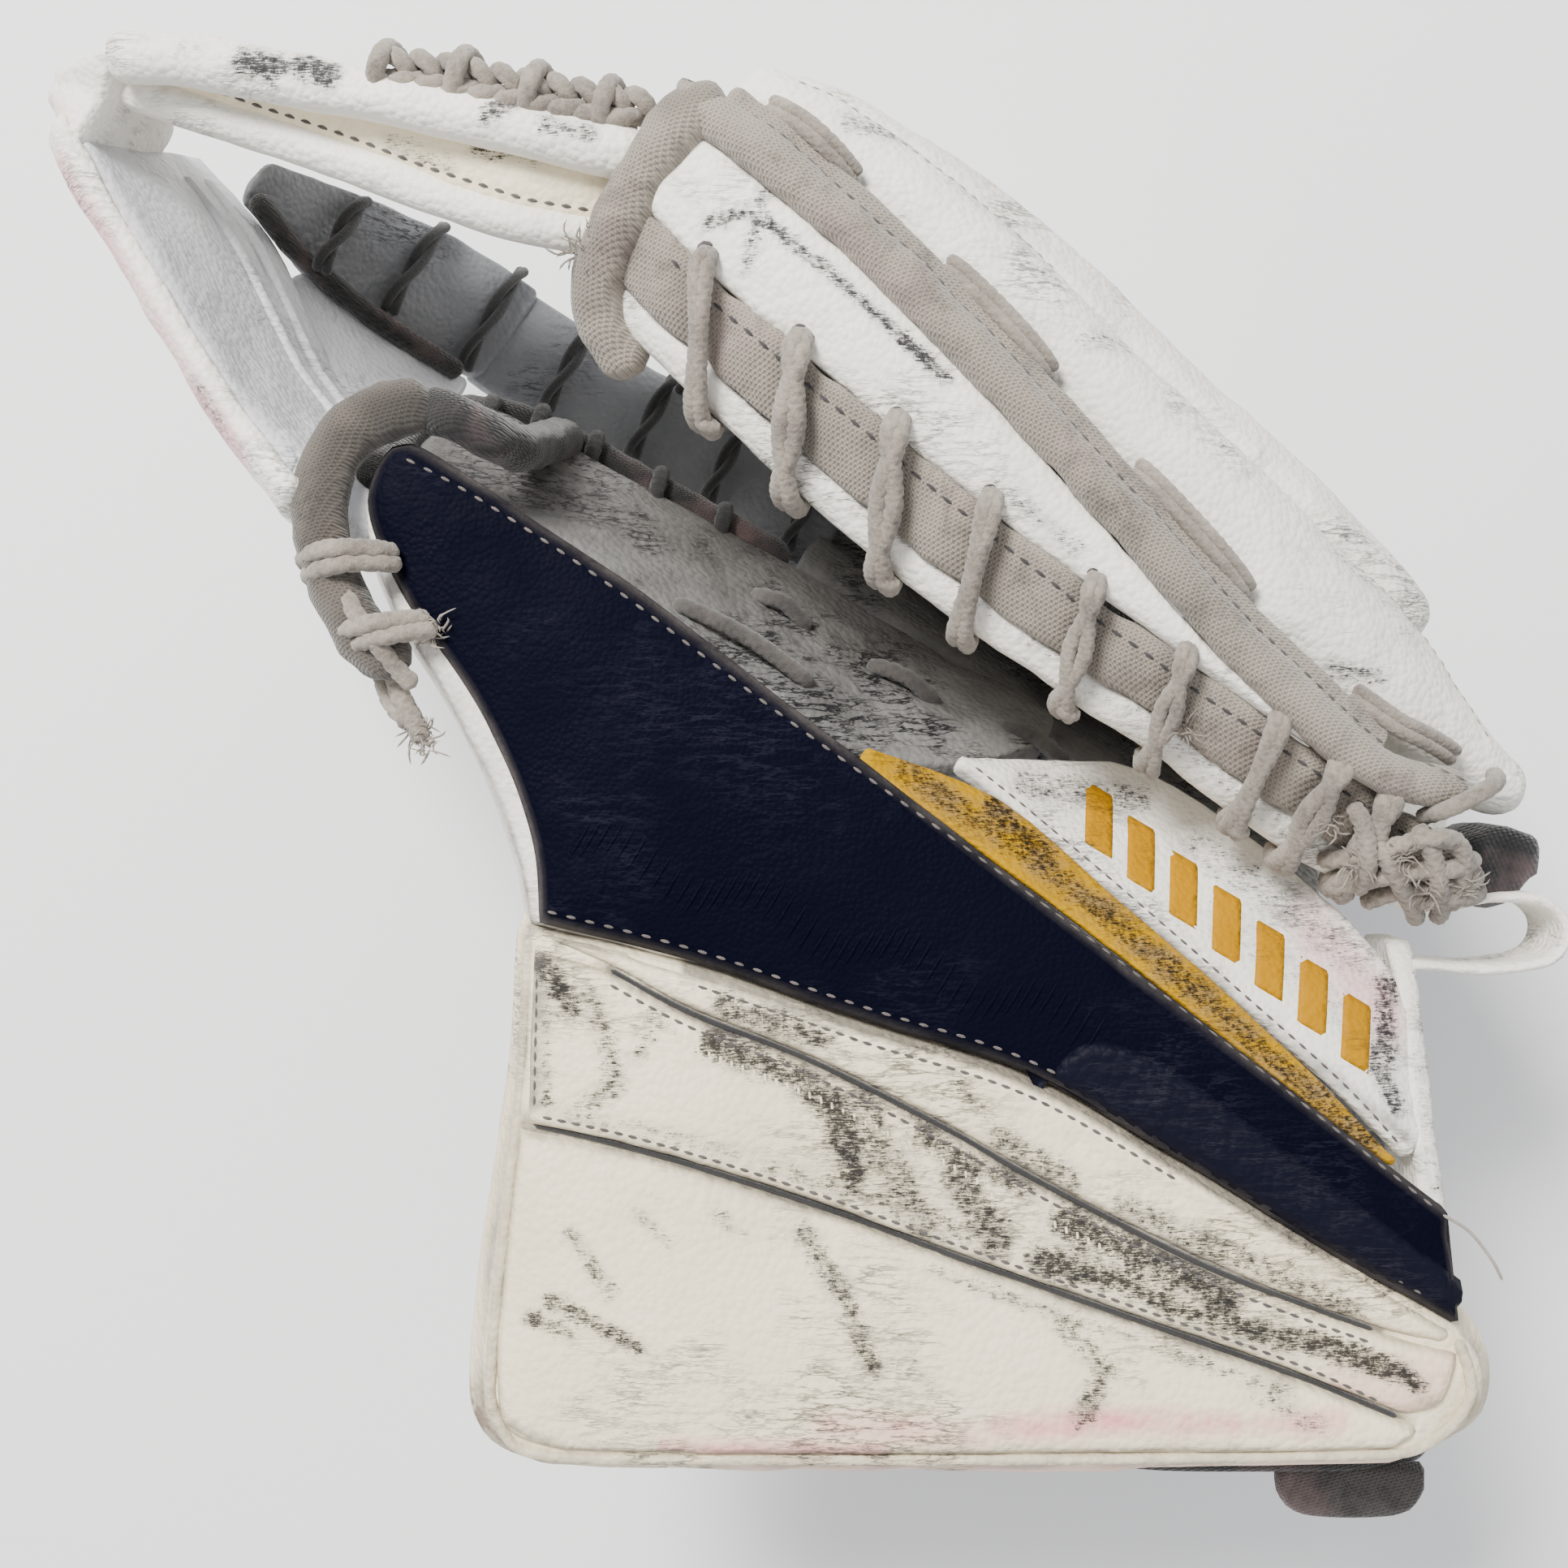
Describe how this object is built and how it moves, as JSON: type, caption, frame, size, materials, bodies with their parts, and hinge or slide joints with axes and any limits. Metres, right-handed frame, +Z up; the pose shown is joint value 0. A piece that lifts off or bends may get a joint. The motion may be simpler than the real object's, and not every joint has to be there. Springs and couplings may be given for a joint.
{
  "type": "goalie catching glove",
  "caption": "Ice hockey goalie catching glove with a hinged finger side, a laced edge, a folding T at the pocket's far corner and a wide padded cuff.",
  "frame": {"origin": "middle of the flat underside of the pad on the back of the hand, which the glove lies on", "axes": "+Z up, out of the open mouth; +Y from the wrist opening towards the fingertips; +X towards the heel"},
  "size_m": [0.3204, 0.3259, 0.1683],
  "materials": {
    "white_leather": "grained, scuffed",
    "navy_leather": "fine grain, semi-matt",
    "gold_leather": "smooth, scuffed",
    "palm_leather": "soft, dirty",
    "stiffener_plastic": "matt sheet",
    "foam": "closed-cell foam, covered",
    "liner_fabric": "brushed knit",
    "twill_binding": "worn twill",
    "dark_binding": "worn twill, dirty",
    "lace": "braided, frayed",
    "dark_lace": "braided, dirty",
    "black_webbing": "woven webbing",
    "hook_and_loop": "hook and loop"
  },
  "bodies": {
    "thumb_side": {"thumb_plate": "stiffener_plastic", "thumb_pad": "foam", "thumb_panel": "navy_leather", "thumb_edge_piping": "white_leather", "thumb_tip_binding": "twill_binding", "thumb_tip_lace": "lace", "cuff_lining": "liner_fabric", "cuff_plate": "stiffener_plastic", "cuff_pad": "foam", "cuff_upper_panel": "white_leather", "cuff_middle_panel": "white_leather", "cuff_lower_panel": "white_leather", "gold_panel": "gold_leather", "heel_panel": "white_leather", "heel_foam": "foam", "heel_strap_loop": "white_leather", "heel_gusset": "black_webbing", "palm_thumb_wall": "palm_leather", "palm_floor": "palm_leather", "pocket_spine": "palm_leather", "palm_edge_binding": "dark_binding", "palm_lace": "dark_lace", "break_welt": "palm_leather", "palm_back_pad": "white_leather", "back_of_hand_pad": "white_leather", "wrist_sleeve": "liner_fabric", "thumb_stall": "liner_fabric", "wrist_tab": "liner_fabric", "strap_band": "black_webbing", "loop_patch": "hook_and_loop"},
    "strap_flap": {"strap_flap": "black_webbing", "hook_patch": "hook_and_loop"},
    "finger_side": {"finger_palm_wall": "white_leather", "finger_edge_strip": "twill_binding", "finger_rim_face": "white_leather", "finger_upper_ridge": "white_leather", "finger_middle_ridge": "white_leather", "finger_lower_ridge": "white_leather", "finger_plate": "stiffener_plastic", "finger_edge_roll": "twill_binding", "finger_tip_binding": "twill_binding", "finger_liner": "liner_fabric", "edge_lace": "lace", "roll_lace": "lace"},
    "t_thumb_leg": {"t_thumb_band": "white_leather", "t_pocket_spine": "palm_leather", "t_pocket_side": "palm_leather", "t_thumb_piping": "white_leather"},
    "t_finger_leg": {"t_finger_slab": "white_leather", "t_finger_wall": "white_leather", "t_lower_roll": "white_leather", "t_upper_roll": "white_leather", "t_outer_lace": "lace"}
  },
  "joints": [
    {"name": "break_hinge", "type": "hinge", "parent": "thumb_side", "child": "finger_side", "pos_m": [-0.00505, 0.09307, 0.025], "axis": [-0.8572, 0.515, 0], "range_deg": [-3, 32]},
    {"name": "t_leg_hinge", "type": "hinge", "parent": "thumb_side", "child": "t_thumb_leg", "pos_m": [-0.17979, 0.11874, 0.145], "axis": [0.1592, 0.2649, 0.9511], "range_deg": [-26, 3]},
    {"name": "t_fold_hinge", "type": "hinge", "parent": "t_thumb_leg", "child": "t_finger_leg", "pos_m": [-0.23051, 0.19354, 0.145], "axis": [0.1592, 0.2649, 0.9511], "range_deg": [-5, 50]},
    {"name": "strap_hinge", "type": "hinge", "parent": "thumb_side", "child": "strap_flap", "pos_m": [-0.029, 0, 0.0285], "axis": [0, -1, 0], "range_deg": [0, 90]}
  ],
  "couplings": [
    {"joint": "t_leg_hinge", "follows": "break_hinge", "ratio": -0.8},
    {"joint": "t_fold_hinge", "follows": "break_hinge", "ratio": 1.55}
  ]
}
